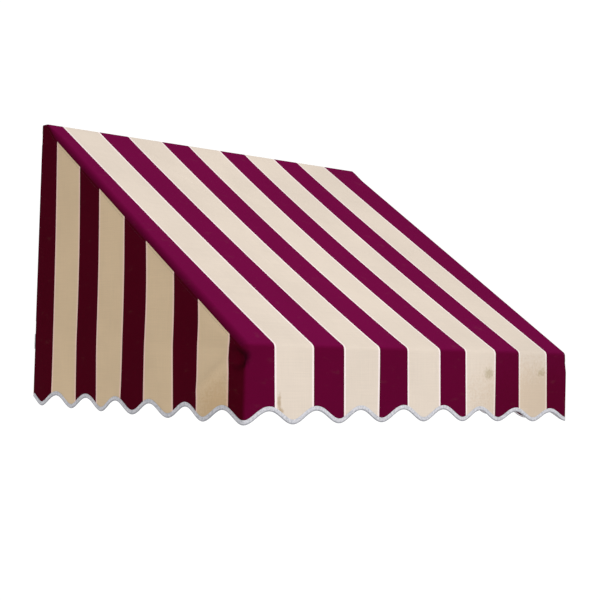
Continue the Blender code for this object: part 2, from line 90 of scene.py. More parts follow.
CANVAS = 0.0007  # thickness of the cloth
REAR_BEND_R = 0.004  # where the roof panel turns down behind the header
HEADER_BEND_R = 0.020  # where it leaves the header for the slope
EDGE_R_TOP = 0.004  # radius of the side edges at the header
EDGE_R_HEM = 0.0065  # and below the front bar, at the hem
EDGE_GROWS = 0.070  # length of rafter over which the edge takes the tube's radius
EDGE_SHRINKS = 0.040  # drop below the front bar over which it loses it
FLAP_END_Z = HEADER_LOW.z + 0.003
SIDE_FLAP_X = ARM_X - 0.017
SIDE_FLAP_LOW = BAR_Z + 0.036
SIDE_FLAP_HIGH = HEADER_LOW.z - 0.012

SCALLOPS = 8
SCALLOP_DEPTH = 0.030
CORNER_ARC = EDGE_R_HEM * math.pi / 2
FRONT_RUN = 2 * (HALF_WIDTH - EDGE_R_HEM) + CORNER_ARC  # hem, from one corner's middle to the other's
SCALLOP_PITCH = FRONT_RUN / SCALLOPS

FLAT_HALF = HALF_WIDTH - EDGE_R_HEM  # middle of the front to where a front corner starts to turn
HEM_CORNER = FLAT_HALF + CORNER_ARC / 2  # middle of the front to the middle of a front corner
HEM_DROOP = 0.008  # how much lower the hem hangs at the right front corner
DROOP_REACH = 0.62  # how far along the hem from there it is felt
DROOP_FLATTENS = 0.2  # part of the scallops' depth that is lost there
SIDE_REAR_Y = BACK_Y - EDGE_R_TOP
HEM_HALF = FLAT_HALF + CORNER_ARC + SIDE_REAR_Y - FRONT_Y - EDGE_R_HEM  # to a rear end of the hem

ROOF_COLUMNS = 132
SLOPE_ROWS = 96
BAR_ROWS = 8
VALANCE_ROWS = 30
EDGE_TURNS = np.radians([14, 28, 42, 56, 70, 82, 90])  # columns round a side edge of the roof
TOP_STEPS = [0.988, 0.996, 1.0]  # last rows of a side panel, close under its seam

SLANT_TAKEN_UP = 0.64  # the right border stripe is drawn out to take up the slant of the others
RIGHT_CREASE = 0.25  # the crease at the right front corner, next to 1 for the left
CREASE_BACK = 0.024  # the crease rings a point this far behind the corner, and this far below the bar
CREASE_R, CREASE_WIDTH, CREASE_STRETCH = 0.021, 0.0055, 1.25
CASTING_PRINT = 0.014  # reach of the swell that the corner casting pushes out
FRONT_FADE_AND_LIGHT = 0.45  # level of fading and painted light on the front valance, next to 1 for the roof; the front is painted darker

TAPE_WIDTH = 0.0105  # of the tape on the outer face of the hem
TAPE_HIDDEN = 0.0042  # the same on the inner face
TAPE_THICK = 0.00055
TAPE_QUILT = 0.00007  # how far the tape puffs up between its stitches
TAPE_STATIONS = 1300
STITCH_PITCH = 0.0034
HEM_STITCH_RISE = TAPE_WIDTH - 0.0022  # hem edge to the row of stitches
SEAM_STITCH_DROP = 0.006  # seam under the rafter to the row of stitches

STRAP_THICK = 0.0008
STRAP_SEWN = 0.022  # height of the strap's edge that is sewn to the cover
STRAP_FOLD = -0.024  # where the strap leaves the cover, from the middle of its tube
STRAP_END = math.radians(42)  # how far up the tube's far side it reaches


def srgb(red, green, blue):
    """Linear colour of an sRGB colour given from 0 to 255."""

    def linear(value):
        value = value / 255
        return value / 12.92 if value <= 0.04045 else ((value + 0.055) / 1.055) ** 2.4

    return linear(red), linear(green), linear(blue)


# ---- settings -----------------------------------------------------------------------------------


def colour_setting(name, description, default):
    return FloatVectorProperty(
        name=name, description=description, subtype="COLOR", size=3, min=0, max=1, default=default
    )


def length_setting(name, description, default):
    return FloatProperty(name=name, description=description, unit="LENGTH", precision=5, default=default)


def angle_setting(name, description, degrees):
    return FloatProperty(
        name=name, description=description, unit="ROTATION", default=math.radians(degrees)
    )


def number_setting(name, description, default):
    return FloatProperty(name=name, description=description, default=default)


class AwningCanvas(PropertyGroup):
    """Colours and stripes of the canvas."""

    # Burgundy, cream and stripe edge are the colours with painted shade, as on the side panels; the faded
    # ones are the colours faded and with painted light, as on the roof.
    burgundy: colour_setting("Burgundy", "Colour of the dark stripes", (0.072, 0.0003, 0.008))
    faded_lit_burgundy: colour_setting(
        "Faded burgundy", "The dark stripes where the sun has bleached them", (0.163, 0.0022, 0.051)
    )
    cream: colour_setting("Cream", "Colour of the light stripes", (0.75, 0.572, 0.375))
    faded_lit_cream: colour_setting(
        "Faded cream", "The light stripes where the sun has bleached them", (0.775, 0.672, 0.572)
    )
    selvage: colour_setting(
        "Stripe edge", "Colour of the pale yarns along the light stripes", (0.95, 0.66, 0.58)
    )
    faded_lit_selvage: colour_setting(
        "Faded stripe edge", "The pale yarns where the sun has bleached them", (1.0, 0.87, 0.86)
    )
    stripe_pitch: length_setting(
        "Stripe repeat", "Width of one dark and one light stripe together", 0.213
    )
    cream_width: length_setting("Light stripe", "Width of one light stripe", 0.1179)
    stripe_shift: length_setting(
        "Stripe shift", "How far the middle light stripe lies to the right at the front bar", -0.0038
    )
    roof_skew: number_setting(
        "Roof stripe slant", "Sideways drift of the stripes for each metre up the roof", -0.035
    )
    side_skew: number_setting(
        "Side stripe slant", "Drift of the side stripes away from the wall for each metre down", 0.026
    )
    left_shift: length_setting(
        "Left side stripe shift", "How far the stripes of the left side lie away from the wall", 0.0045
    )
    right_shift: length_setting(
        "Right side stripe shift", "How far the stripes of the right side lie away from the wall", 0.030
    )
    yarn_pitch: length_setting("Yarn pitch", "Distance between neighbouring yarns of the weave", 0.0011)


class AwningShape(PropertyGroup):
    """How slack the sewn cover hangs."""

    roof_sag: length_setting(
        "Roof sag", "How far the roof dips in the middle between the rafters", 0.011
    )
    front_wave: length_setting(
        "Front ripple", "Depth of the ripples at the hem of the front valance", 0.0030
    )
    side_wave: length_setting(
        "Side ripple", "Depth of the ripples at the hem of the side panels", 0.0045
    )
    corner_pinch: length_setting(
        "Corner hollow", "How far the cloth falls in under the front corner castings", 0.006
    )


class AwningStage(PropertyGroup):
    """Floor, light and camera."""

    floor_drop: length_setting("Floor below hem", "Height of the hem above the floor", 2.0)
    key_power: number_setting("Key light", "Power of the soft key light in watts", 52)
    front_power: number_setting("Front light", "Power of the low light in front, in watts", 4.5)
    fill_power: number_setting("Fill light", "Brightness of the room all round", 0.33)
    lens: number_setting("Lens", "Focal length of the camera in mm", 77.35)
    turn: angle_setting("Camera turn", "Direction of view, to the right of straight at the wall", 41.264)
    pitch: angle_setting("Camera pitch", "Upward tilt of the camera", 2.174)
    roll: angle_setting("Camera roll", "Roll of the camera about its own line of sight", 1.593)
    station: FloatVectorProperty(
        name="Camera place",
        description="Where the camera stands",
        subtype="TRANSLATION",
        size=3,
        default=(-2.3447, -3.1113, -0.5419),
    )


# ---- the shape of the cover ---------------------------------------------------------------------


def smooth(value):
    """0 below 0, 1 above 1 and an even curve between."""
    value = np.clip(value, 0.0, 1.0)
    return value * value * (3 - 2 * value)


def edge_radius_below(z):
    """Radius of the front corners of the skirt at a height below the front bar."""
    return BEND_R + (EDGE_R_HEM - BEND_R) * smooth((BAR_Z - z) / EDGE_SHRINKS)


def hem_height(along):
    """Height of the scalloped edge at a distance along it from the middle of the front.

    The distance is negative on the left. The hem hangs lowest round the right front corner.
    """
    along = np.asarray(along)
    wave = np.cos(2 * np.pi * (np.abs(along) - HEM_CORNER) / SCALLOP_PITCH)
    droop = smooth(1 - np.abs(along - HEM_CORNER) / DROOP_REACH)
    depth = SCALLOP_DEPTH * (1 - DROOP_FLATTENS * droop)
    return HEM_Z - HEM_DROOP * droop + depth / 2 * (1 - wave) + TAPE_THICK


def drop_below_bar(z):
    """0 at the front bar and the arms, 1 at the hem."""
    return np.clip((BAR_Z - z) / (BAR_Z - HEM_Z), 0.0, 1.0)


def corner_ring(way, z, ceiling):
    """Strength, from 0 to 1, of the crease round the end of the front bar, and of the swell in it.

    way runs round the skirt: 0 at the middle of a front corner, positive along the side.
    """
    across = (way - CREASE_BACK) / CREASE_STRETCH
    reach = np.hypot(across, BAR_Z - CREASE_BACK - z)
    facing = 0.5 - 0.5 * across / (reach + 0.001)
    held = smooth((ceiling - z) / 0.008)
    crease = np.exp(-(((reach - CREASE_R) / CREASE_WIDTH) ** 2)) * facing * held
    swell = np.exp(-((reach / CASTING_PRINT) ** 2)) * held
    return crease, swell


def corner_ease(side, way, z, ceiling, depth):
    """How far the cloth stands out beside a front corner casting, and how deeply it is creased, which
    also sets the painted shade in the crease.
    """
    crease, swell = corner_ring(way, z, ceiling)
    if side > 0:
        crease, swell = crease * RIGHT_CREASE, swell * RIGHT_CREASE
    clear_of_tubes = smooth((BAR_Z - z - 0.011) / 0.008)
    return float(depth * (0.3 * swell - crease * clear_of_tubes)), float(crease)


def front_ease(x, z, shape):
    """How far the front valance stands out of its plane."""
    drop = drop_below_bar(z)
    held = 1 - smooth((np.abs(x) / HALF_WIDTH - 0.86) / 0.14)
    long_ripple = np.sin(2 * np.pi * x / 0.47 + 0.9)
    short_ripple = np.sin(2 * np.pi * x / 0.213 + 2.2 + 1.5 * drop)
    ripple = long_ripple + 0.55 * short_ripple
    return shape.front_wave * drop**1.4 * held * (0.65 * ripple - 0.25)


def side_ease(side, y, z, shape):
    """How far a side panel stands out of its plane."""
    drop = drop_below_bar(z)
    from_front = y - FRONT_Y
    held = smooth(from_front / 0.12) * smooth((BACK_Y - y) / 0.10)
    turn = 0.0 if side < 0 else 1.3
    ripple = np.sin(2 * np.pi * from_front / 0.39 + 0.4 + turn)
    ripple = ripple + 0.5 * np.sin(2 * np.pi * from_front / 0.17 + 2.1 * drop + turn)
    skirt = 0.6 * shape.side_wave * drop**1.2 * held * ripple
    above = np.clip((z - BAR_Z) / (TOP_Z - BAR_Z), 0.0, 1.0)
    ceiling = np.clip(from_front / (BACK_Y - FRONT_Y), 0.02, 1.0)
    belly = np.sin(np.pi * np.clip(above / ceiling, 0.0, 1.0)) * held
    body = -0.0022 * belly * (1 + 0.4 * np.sin(2 * np.pi * from_front / 0.31 + turn))
    fold_line = (from_front - 0.035) * 0.66 - (BAR_Z - z - 0.012)
    fold = np.exp(-((fold_line / 0.016) ** 2)) * smooth((from_front - 0.03) / 0.05)
    fold = fold * smooth((0.21 - from_front) / 0.08)
    return skirt + body + 0.0026 * fold


def profile_rows():
    """Rows of the roof panel from the rear flap to the front bar.

    Each row is (y, z, outward angle in the y-z plane, radius of the side edges).
    """
    rows = [(BACK_Y, FLAP_END_Z, 0.0, EDGE_R_TOP)]
    rows += [(BACK_Y, z, 0.0, EDGE_R_TOP) for z in np.linspace(FLAP_END_Z, TOP_Z - REAR_BEND_R, 4)[1:-1]]
    for angle in np.linspace(0, math.pi / 2, 5):
        y = BACK_Y - REAR_BEND_R + REAR_BEND_R * math.cos(angle)
        z = TOP_Z - REAR_BEND_R + REAR_BEND_R * math.sin(angle)
        rows.append((y, z, angle, EDGE_R_TOP))
    bend_y = HEADER_LOW.y + HEADER_BEND_R * math.tan(SLOPE / 2)
    for angle in np.linspace(math.pi / 2, math.pi / 2 + SLOPE, 7):
        y = bend_y + HEADER_BEND_R * math.cos(angle)
        z = TOP_Z - HEADER_BEND_R + HEADER_BEND_R * math.sin(angle)
        rows.append((y, z, angle, EDGE_R_TOP))
    square_on = math.pi / 2 + SLOPE
    start = np.array(rows[-1][:2])
    end = np.array((BAR_Y + BEND_R * math.cos(square_on), BAR_Z + BEND_R * math.sin(square_on)))
    length = np.linalg.norm(end - start)
    for part in np.linspace(0, 1, SLOPE_ROWS + 1)[1:]:
        y, z = start + (end - start) * part
        grown = smooth(part * length / EDGE_GROWS)
        rows.append((y, z, square_on, EDGE_R_TOP + (BEND_R - EDGE_R_TOP) * grown))
    for angle in np.linspace(square_on, math.pi, BAR_ROWS + 1)[1:]:
        y, z = BAR_Y + BEND_R * math.cos(angle), BAR_Z + BEND_R * math.sin(angle)
        rows.append((y, z, angle, BEND_R))
    return np.array(rows)


def valance_steps():
    """Heights of the skirt's rows, as parts of the way up from the hem to the front bar."""
    return np.linspace(0, 1, VALANCE_ROWS)[:-1]


def seam_dip(distance):
    """The dip of the cloth into a sewn seam at a distance from it."""
    return -0.0005 * np.exp(-((distance / 0.0016) ** 2))


def edge_columns():
    """Columns of the roof panel: (part of the flat half width, edge angle) pairs from left to right."""
    flat = np.linspace(-1, 1, ROOF_COLUMNS + 1)
    left = [(-1.0, turn) for turn in EDGE_TURNS[::-1]]
    right = [(1.0, turn) for turn in EDGE_TURNS]
    return left + [(part, 0.0) for part in flat] + right


def slope_points(shape, rows, columns):
    """Points, flat cut, and fading with painted light and shade, of the roof from its rear flap down to
    the front bar, row by row.
    """
    slope_to = len(rows) - 1 - BAR_ROWS
    slope_from = slope_to - SLOPE_ROWS
    run = np.concatenate([[0], np.cumsum(np.linalg.norm(np.diff(rows[:, :2], axis=0), axis=1))])
    points, cut, tone_and_shade = [], [], []
    for number, (y, z, angle, radius) in enumerate(rows):
        normal = Vector((0, math.cos(angle), math.sin(angle)))
        sag_here = 0.0
        if slope_from <= number <= slope_to:
            sag_here = math.sin(math.pi * (number - slope_from) / (slope_to - slope_from)) ** 0.8
        # Painted light: the roof takes the lit, faded colours, which give way round the front bar to the
        # front's painted shade.
        round_bar = smooth((angle - math.pi / 2 - SLOPE) / (math.pi / 2 - SLOPE))
        bleach = 1.0 - (1.0 - FRONT_FADE_AND_LIGHT) * round_bar
        flat_half = HALF_WIDTH - radius
        for part, turn in columns:
            side = math.copysign(1, part)
            x = part * flat_half + side * radius * math.sin(turn)
            inset = radius * (1 - math.cos(turn))
            dip = seam_dip(radius * (math.pi / 2 - turn)) if turn else 0.0
            across = min(abs(part) * flat_half / ARM_X, 1.0)
            sag = shape.roof_sag * sag_here * (1 - across**2)
            sag += 0.0007 * sag_here * math.sin(9.3 * x + 2.1 * run[number]) * (1 - across**4)
            place = Vector((0, y, z)) + normal * (-inset + dip * math.cos(turn) - sag)
            place.x = x + side * dip * math.sin(turn)
            points.append(place)
            cut.append((side * (abs(part) * flat_half + radius * turn), run[-1] - run[number]))
            # Painted shade: the colour darkens round the side edges as they turn away from the light.
            tone_and_shade.append((bleach * (1 - 0.75 * turn / math.pi * 2), 0.0))
    return points, cut, tone_and_shade


def valance_points(shape, columns):
    """Points, flat cut, and fading with painted light and shade, of the front valance, row by row from
    the bar down to the hem.
    """
    points, cut, tone_and_shade = [], [], []
    for step in valance_steps()[::-1]:
        for part, turn in columns:
            side = math.copysign(1, part)
            if turn:
                way = EDGE_R_HEM * (turn - math.pi / 4)
            else:
                way = abs(part) * FLAT_HALF - HEM_CORNER
            hem = float(hem_height(side * (way + HEM_CORNER)))
            z = hem + (BAR_Z - hem) * step
            radius = float(edge_radius_below(z))
            x = part * (HALF_WIDTH - radius) + side * radius * math.sin(turn)
            y = FRONT_Y + radius * (1 - math.cos(turn))
            out, crease = corner_ease(side, way, z, BAR_Z, shape.corner_pinch)
            if turn:
                out += seam_dip(radius * (math.pi / 2 - turn))
            else:
                out += float(front_ease(x, z, shape))
            points.append(Vector((x + side * out * math.sin(turn), y - out * math.cos(turn), z)))
            cut.append((side * (abs(part) * (HALF_WIDTH - radius) + radius * turn), z - BAR_Z))
            # Painted shade: round each front corner the colour darkens to the side panels' shaded colour.
            tone_and_shade.append((FRONT_FADE_AND_LIGHT * (1 - turn / math.pi * 2), crease))
    return points, cut, tone_and_shade


def roof_points(shape):
    """Points, flat cut, and fading with painted light and shade, of the whole roof cover, with the number
    of its rows and columns.
    """
    rows, columns = profile_rows(), edge_columns()
    above = slope_points(shape, rows, columns)
    below = valance_points(shape, columns)
    points, cut, tone_and_shade = (upper + lower for upper, lower in zip(above, below))
    return points, cut, tone_and_shade, len(rows) + len(valance_steps()), len(columns)


def side_top_line():
    """Top edge of a side panel from the wall to the front corner, as (y, z) pairs."""
    rows = profile_rows()
    line = []
    for y, z, angle, radius in rows:
        point = (y - math.cos(angle) * radius, z - math.sin(angle) * radius)
        if line and point[0] > line[-1][0] - 0.0004:
            point = (line[-1][0], max(point[1], line[-1][1]))
            line.pop()
        line.append(point)
    return line


def side_points(side, shape):
    """Points, flat cut and painted shade of a side panel, column by column from the wall to the front
    seam.
    """
    top_line = side_top_line()
    steps = np.concatenate([valance_steps(), TOP_STEPS])
    points, cut, tone_and_shade = [], [], []
    for column_y, top in top_line:
        near_front = float(smooth((BAR_Y + 0.07 - column_y) / 0.07))
        hem_y = column_y - near_front * (BEND_R - EDGE_R_HEM)
        hem = float(hem_height(side * (hem_y - FRONT_Y - EDGE_R_HEM + CORNER_ARC / 2 + HEM_CORNER)))
        for step in steps:
            z = hem + (top - hem) * step
            radius = float(edge_radius_below(z))
            y = column_y - near_front * (BEND_R - radius)
            way = y - FRONT_Y - radius + CORNER_ARC / 2
            out, crease = corner_ease(side, way, z, top, shape.corner_pinch)
            out += float(side_ease(side, y, z, shape))
            to_seam = min((top - z) * math.cos(SLOPE), column_y - top_line[-1][0])
            out += float(seam_dip(to_seam))
            points.append(Vector((side * (HALF_WIDTH + out), y, z)))
            cut.append((-y, z))
            # Painted shade: the side panels take the shaded colours, with painted shade in the corner
            # crease.
            tone_and_shade.append((0.0, crease))
    return points, cut, tone_and_shade, len(top_line), len(steps)


# ---- cloth as meshes ----------------------------------------------------------------------------


def deselect():
    for thing in list(bpy.context.selected_objects):
        thing.select_set(False)


def pick(piece):
    """Makes a piece the only selected one."""
    deselect()
    piece.select_set(True)
    bpy.context.view_layer.objects.active = piece


def shade(piece, angle=math.radians(50)):
    pick(piece)
    bpy.ops.object.shade_smooth_by_angle(angle=angle)
    piece.select_set(False)


def grid_faces(rows, columns):
    """Quads of a grid of points given row by row."""
    faces = []
    for row in range(rows - 1):
        for column in range(columns - 1):
            corner = row * columns + column
            faces.append((corner, corner + columns, corner + columns + 1, corner + 1))
    return faces


def put_mesh(name, points, faces, canvas, cut=None, **tone_and_shade):
    """A new piece from points and faces.

    cut is where each point lay when flat, and tone_and_shade holds one value for each point under each
    name; these values set fading and painted light and shade.
    """
    mesh = bpy.data.meshes.new(name)
    mesh.from_pydata([tuple(point) for point in points], [], faces)
    if cut is not None:
        corners = np.zeros(len(mesh.loops), int)
        mesh.loops.foreach_get("vertex_index", corners)
        layer = mesh.uv_layers.new(name="cut")
        layer.data.foreach_set("uv", np.array(cut, float)[corners].ravel())
    for shading_layer_name, values in tone_and_shade.items():
        layer = mesh.attributes.new(shading_layer_name, "FLOAT", "POINT")
        layer.data.foreach_set("value", np.array(values, float))
    mesh.materials.append(canvas)
    piece = bpy.data.objects.new(name, mesh)
    bpy.context.scene.collection.objects.link(piece)
    return piece


def cloth(name, points, cut, tone_and_shade, faces, canvas, thickness=CANVAS):
    """A sheet of cloth whose outer face has the given points.

    cut is where each point lay when flat, and tone_and_shade is its (fading with painted light and shade,
    painted shade in creases), each up to 1.
    """
    bleach, crease = zip(*tone_and_shade)
    piece = put_mesh(name, points, faces, canvas, cut, bleach=bleach, crease=crease)
    wall = piece.modifiers.new("Cloth", "SOLIDIFY")
    wall.thickness = thickness
    wall.offset = -1
    pick(piece)
    bpy.ops.object.modifier_apply(modifier=wall.name)
    shade(piece)
    return piece


def stitches(name, middles, alongs, outs, thread, length=0.0026, radius=0.00024):
    """A run of sewing thread: one small rounded stitch lies at each middle, in one mesh.

    Each ring of a stitch is (place along it, size, sinking into the cloth).
    """
    middles, alongs, outs = (np.asarray(values, float) for values in (middles, alongs, outs))
    alongs = alongs / np.linalg.norm(alongs, axis=1, keepdims=True)
    across = np.cross(alongs, outs)
    across = across / np.linalg.norm(across, axis=1, keepdims=True)
    rings = [(-0.5, 0.35, -0.8), (-0.28, 1.0, 0.0), (0.28, 1.0, 0.0), (0.5, 0.35, -0.8)]
    sides = 6
    verts, faces = [], []
    for ring_at, ring_size, sink in rings:
        for k in range(sides):
            turn = 2 * math.pi * k / sides
            point = middles + alongs * (length * ring_at)
            point = point + across * (radius * ring_size * math.cos(turn))
            point = point + outs * (radius * (ring_size * math.sin(turn) + sink))
            verts.append(point)
    verts = np.stack(verts, 1)
    per_stitch = verts.shape[1]
    for number in range(len(middles)):
        start = number * per_stitch
        for ring in range(len(rings) - 1):
            for k in range(sides):
                a = start + ring * sides + k
                b = start + ring * sides + (k + 1) % sides
                faces.append((a, b, b + sides, a + sides))
        faces.append(tuple(start + k for k in reversed(range(sides))))
        last = start + (len(rings) - 1) * sides
        faces.append(tuple(last + k for k in range(sides)))
    piece = put_mesh(name, verts.reshape(-1, 3), faces, thread)
    pick(piece)
    bpy.ops.object.mode_set(mode="EDIT")
    bpy.ops.mesh.select_all(action="SELECT")
    bpy.ops.mesh.normals_make_consistent(inside=False)
    bpy.ops.object.mode_set(mode="OBJECT")
    shade(piece)
    return piece


# ---- the skirt as one surface, for what is sewn to its hem --------------------------------------


def skirt(along, z, stand_off, shape):
    """Points and outward directions on the skirt near its hem.

    along runs round the hem from the left rear end (-HEM_HALF) to the right one (HEM_HALF).
    """
    along = np.asarray(along, float)
    z = np.asarray(z, float)
    side = np.where(along < 0, -1.0, 1.0)
    way = np.abs(along)
    turn = np.clip((way - FLAT_HALF) / EDGE_R_HEM, 0, math.pi / 2)
    on_front = np.minimum(way, FLAT_HALF)
    on_side = np.maximum(way - FLAT_HALF - CORNER_ARC, 0)
    x = side * (on_front + EDGE_R_HEM * np.sin(turn))
    y = FRONT_Y + EDGE_R_HEM * (1 - np.cos(turn)) + on_side
    out = np.stack([side * np.sin(turn), -np.cos(turn), np.zeros_like(turn)], -1)
    ease = np.where(turn <= 0, front_ease(x, z, shape), 0.0)
    left, right = side_ease(-1, y, z, shape), side_ease(1, y, z, shape)
    ease = np.where(on_side > 0, np.where(side < 0, left, right), ease)
    place = np.stack([x, y, z], -1) + out * (ease + stand_off)[..., None]
    return place, out


def above_hem(along, rise, stand_off, shape):
    """Points that lie square to the scalloped edge at a distance from it."""
    along = np.asarray(along, float)
    step = 0.0005
    lean = np.arctan((hem_height(along + step) - hem_height(along - step)) / (2 * step))
    height = hem_height(along) + rise * np.cos(lean)
    return skirt(along - rise * np.sin(lean), height, stand_off, shape)


# ---- finishes -----------------------------------------------------------------------------------


class Nodes:
    """Short way to write the nodes of one material."""

    def __init__(self, name, preview):
        self.material = bpy.data.materials.new(name)
        self.material.use_nodes = True
        self.material.diffuse_color = (*preview, 1.0)
        self.tree = self.material.node_tree

    def new(self, kind, **values):
        """A node of a kind, with its named inputs set to values or fed by sockets."""
        node = self.tree.nodes.new(f"ShaderNode{kind}")
        for name, value in values.items():
            self.put(node.inputs[name], value)
        return node

    def put(self, socket, value):
        if isinstance(value, bpy.types.NodeSocket):
            self.tree.links.new(value, socket)
        else:
            socket.default_value = value

    def math(self, operation, *values):
        node = self.new("Math")
        node.operation = operation
        for socket, value in zip(node.inputs, values):
            self.put(socket, value)
        return node.outputs[0]

    def times(self, first, second):
        return self.math("MULTIPLY", first, second)

    def ramp(self, value, low, high, to_low=0.0, to_high=1.0):
        """value from low to high becomes to_low to to_high on a smooth curve."""
        node = self.new("MapRange")
        node.interpolation_type = "SMOOTHSTEP"
        for socket, amount in zip(node.inputs, (value, low, high, to_low, to_high)):
            self.put(socket, amount)
        return node.outputs[0]

    def mix(self, factor, first, second, blend="MIX"):
        node = self.new("Mix")
        node.data_type = "RGBA"
        node.blend_type = blend
        sockets = [socket for socket in node.inputs if socket.enabled]
        self.put(sockets[0], factor)
        for socket, value in zip(sockets[1:], (first, second)):
            self.put(socket, value if isinstance(value, bpy.types.NodeSocket) else (*value, 1.0))
        return next(socket for socket in node.outputs if socket.enabled)

    def darken(self, factor, colour, tint):
        """The colour multiplied by a tint."""
        return self.mix(factor, colour, tint, "MULTIPLY")

    def grey(self, value):
        """A grey colour from one number."""
        return self.new("CombineColor", Red=value, Green=value, Blue=value).outputs[0]

    def mapping(self, source, scale, turn=(0, 0, 0), shift=(0, 0, 0)):
        return self.new("Mapping", Vector=source, Scale=scale, Rotation=turn, Location=shift).outputs[0]

    def place(self, scale=(1, 1, 1), turn=(0, 0, 0), shift=(0, 0, 0)):
        """Place on the awning in metres, scaled, turned and shifted."""
        return self.mapping(self.new("TexCoord").outputs["Object"], scale, turn, shift)

    def flat(self, across=1.0, down=1.0):
        """Place on the flat cut of the cloth in metres, divided by a size each way."""
        node = self.new("UVMap")
        node.uv_map = "cut"
        return self.mapping(node.outputs[0], (1 / across, 1 / down, 1))

    def noise(self, vector, scale, detail=3.0, roughness=0.5):
        node = self.new("TexNoise", Vector=vector, Scale=scale, Detail=detail, Roughness=roughness)
        return node.outputs["Fac"]

    def split(self, vector):
        return self.new("SeparateXYZ", Vector=vector).outputs[:3]

    def attribute(self, name):
        node = self.new("Attribute")
        node.attribute_name = name
        return node.outputs["Fac"]

    def bump(self, height, strength, distance, **under):
        return self.new("Bump", Height=height, Strength=strength, Distance=distance, **under).outputs[0]

    def weave(self, pitch):
        """Height of a plain weave: warp and weft yarns take turns to lie on top."""
        u, v, _ = self.split(self.flat())
        waves = [self.math("SINE", self.times(along, 2 * math.pi / pitch)) for along in (u, v)]
        return self.math("MULTIPLY_ADD", self.times(*waves), 0.5, 0.5)

    def spot(self, centre, size):
        """Mask of a ragged patch on the cover."""
        inverse = tuple(1 / reach for reach in size)
        shift = tuple(-middle / reach for middle, reach in zip(centre, size))
        length = self.new("VectorMath", Vector=self.place(inverse, shift=shift))
        length.operation = "LENGTH"
        ragged = self.noise(self.place(), 160, 4.0, 0.6)
        reach = self.math("MULTIPLY_ADD", ragged, 1.1, length.outputs["Value"])
        return self.ramp(reach, 0.75, 1.45, 1.0, 0.0)

    def surface(self, colour, rough, normal=None, metallic=0.0, specular=0.5):
        """Feeds the surface, and gives back the finished material."""
        sockets = self.tree.nodes["Principled BSDF"].inputs
        self.put(sockets["Base Color"], colour)
        self.put(sockets["Roughness"], rough)
        self.put(sockets["Metallic"], metallic)
        self.put(sockets["Specular IOR Level"], specular)
        if normal:
            self.put(sockets["Normal"], normal)
        return self.material


# Wide places, centre and size, of painted shade that darkens and yellows the cloth: the front valance
# towards its right end, away from the light, and low on the left side panel near the front.
SHADE_PATCHES = (
    ((0.46, FRONT_Y, -0.665), (0.42, 0.03, 0.16)),
    ((-HALF_WIDTH, -0.83, -0.69), (0.03, 0.13, 0.12)),
)
SHADE_TINT = (0.90, 0.84, 0.76)

# Brownish patches on the front valance: place, size, strength and colour.
BROWN_SPOTS = (
    ((-0.472, FRONT_Y, -0.662), (0.009, 0.03, 0.030), 0.6, srgb(172, 142, 98)),
    ((-0.466, FRONT_Y, -0.684), (0.012, 0.03, 0.012), 0.6, srgb(172, 142, 98)),
    ((0.243, FRONT_Y, -0.592), (0.030, 0.03, 0.022), 0.5, srgb(170, 156, 116)),
    ((0.460, FRONT_Y, -0.588), (0.026, 0.03, 0.018), 0.5, srgb(170, 156, 116)),
)


def stripes(nodes, settings):
    """Colour of the clean canvas: stripes with pale yarns on their light side, in painted lit, faded
    colours on the roof and painted shaded ones on the sides.
    """
    across = nodes.split(nodes.flat())[0]
    repeat = nodes.math("ADD", nodes.math("DIVIDE", across, settings.stripe_pitch), 0.5)
    offset = nodes.math("SUBTRACT", nodes.math("FRACT", repeat), 0.5)
    from_middle = nodes.times(nodes.math("ABSOLUTE", offset), settings.stripe_pitch)
    past_edge = nodes.math("SUBTRACT", from_middle, settings.cream_width / 2)
    is_burgundy = nodes.ramp(past_edge, -0.00025, 0.00025)
    pale_line = nodes.ramp(past_edge, -0.0062, -0.0040)
    dark_line = nodes.ramp(past_edge, 0.0012, 0.0040, 1.0, 0.0)

    # Painted light and shade: the shaded colours give way to the lit, faded ones where the value is high.
    bleach = nodes.attribute("bleach")
    cream_fade_and_light = nodes.ramp(bleach, 0.0, 0.4)
    burgundy = nodes.mix(bleach, settings.burgundy, settings.faded_lit_burgundy)
    deep = nodes.darken(1.0, burgundy, (0.62, 0.45, 0.5))
    burgundy = nodes.mix(nodes.times(dark_line, 0.35), burgundy, deep)
    cream = nodes.mix(cream_fade_and_light, settings.cream, settings.faded_lit_cream)
    selvage = nodes.mix(cream_fade_and_light, settings.selvage, settings.faded_lit_selvage)
    cream = nodes.mix(nodes.times(pale_line, 0.9), cream, selvage)
    return nodes.mix(is_burgundy, cream, burgundy)


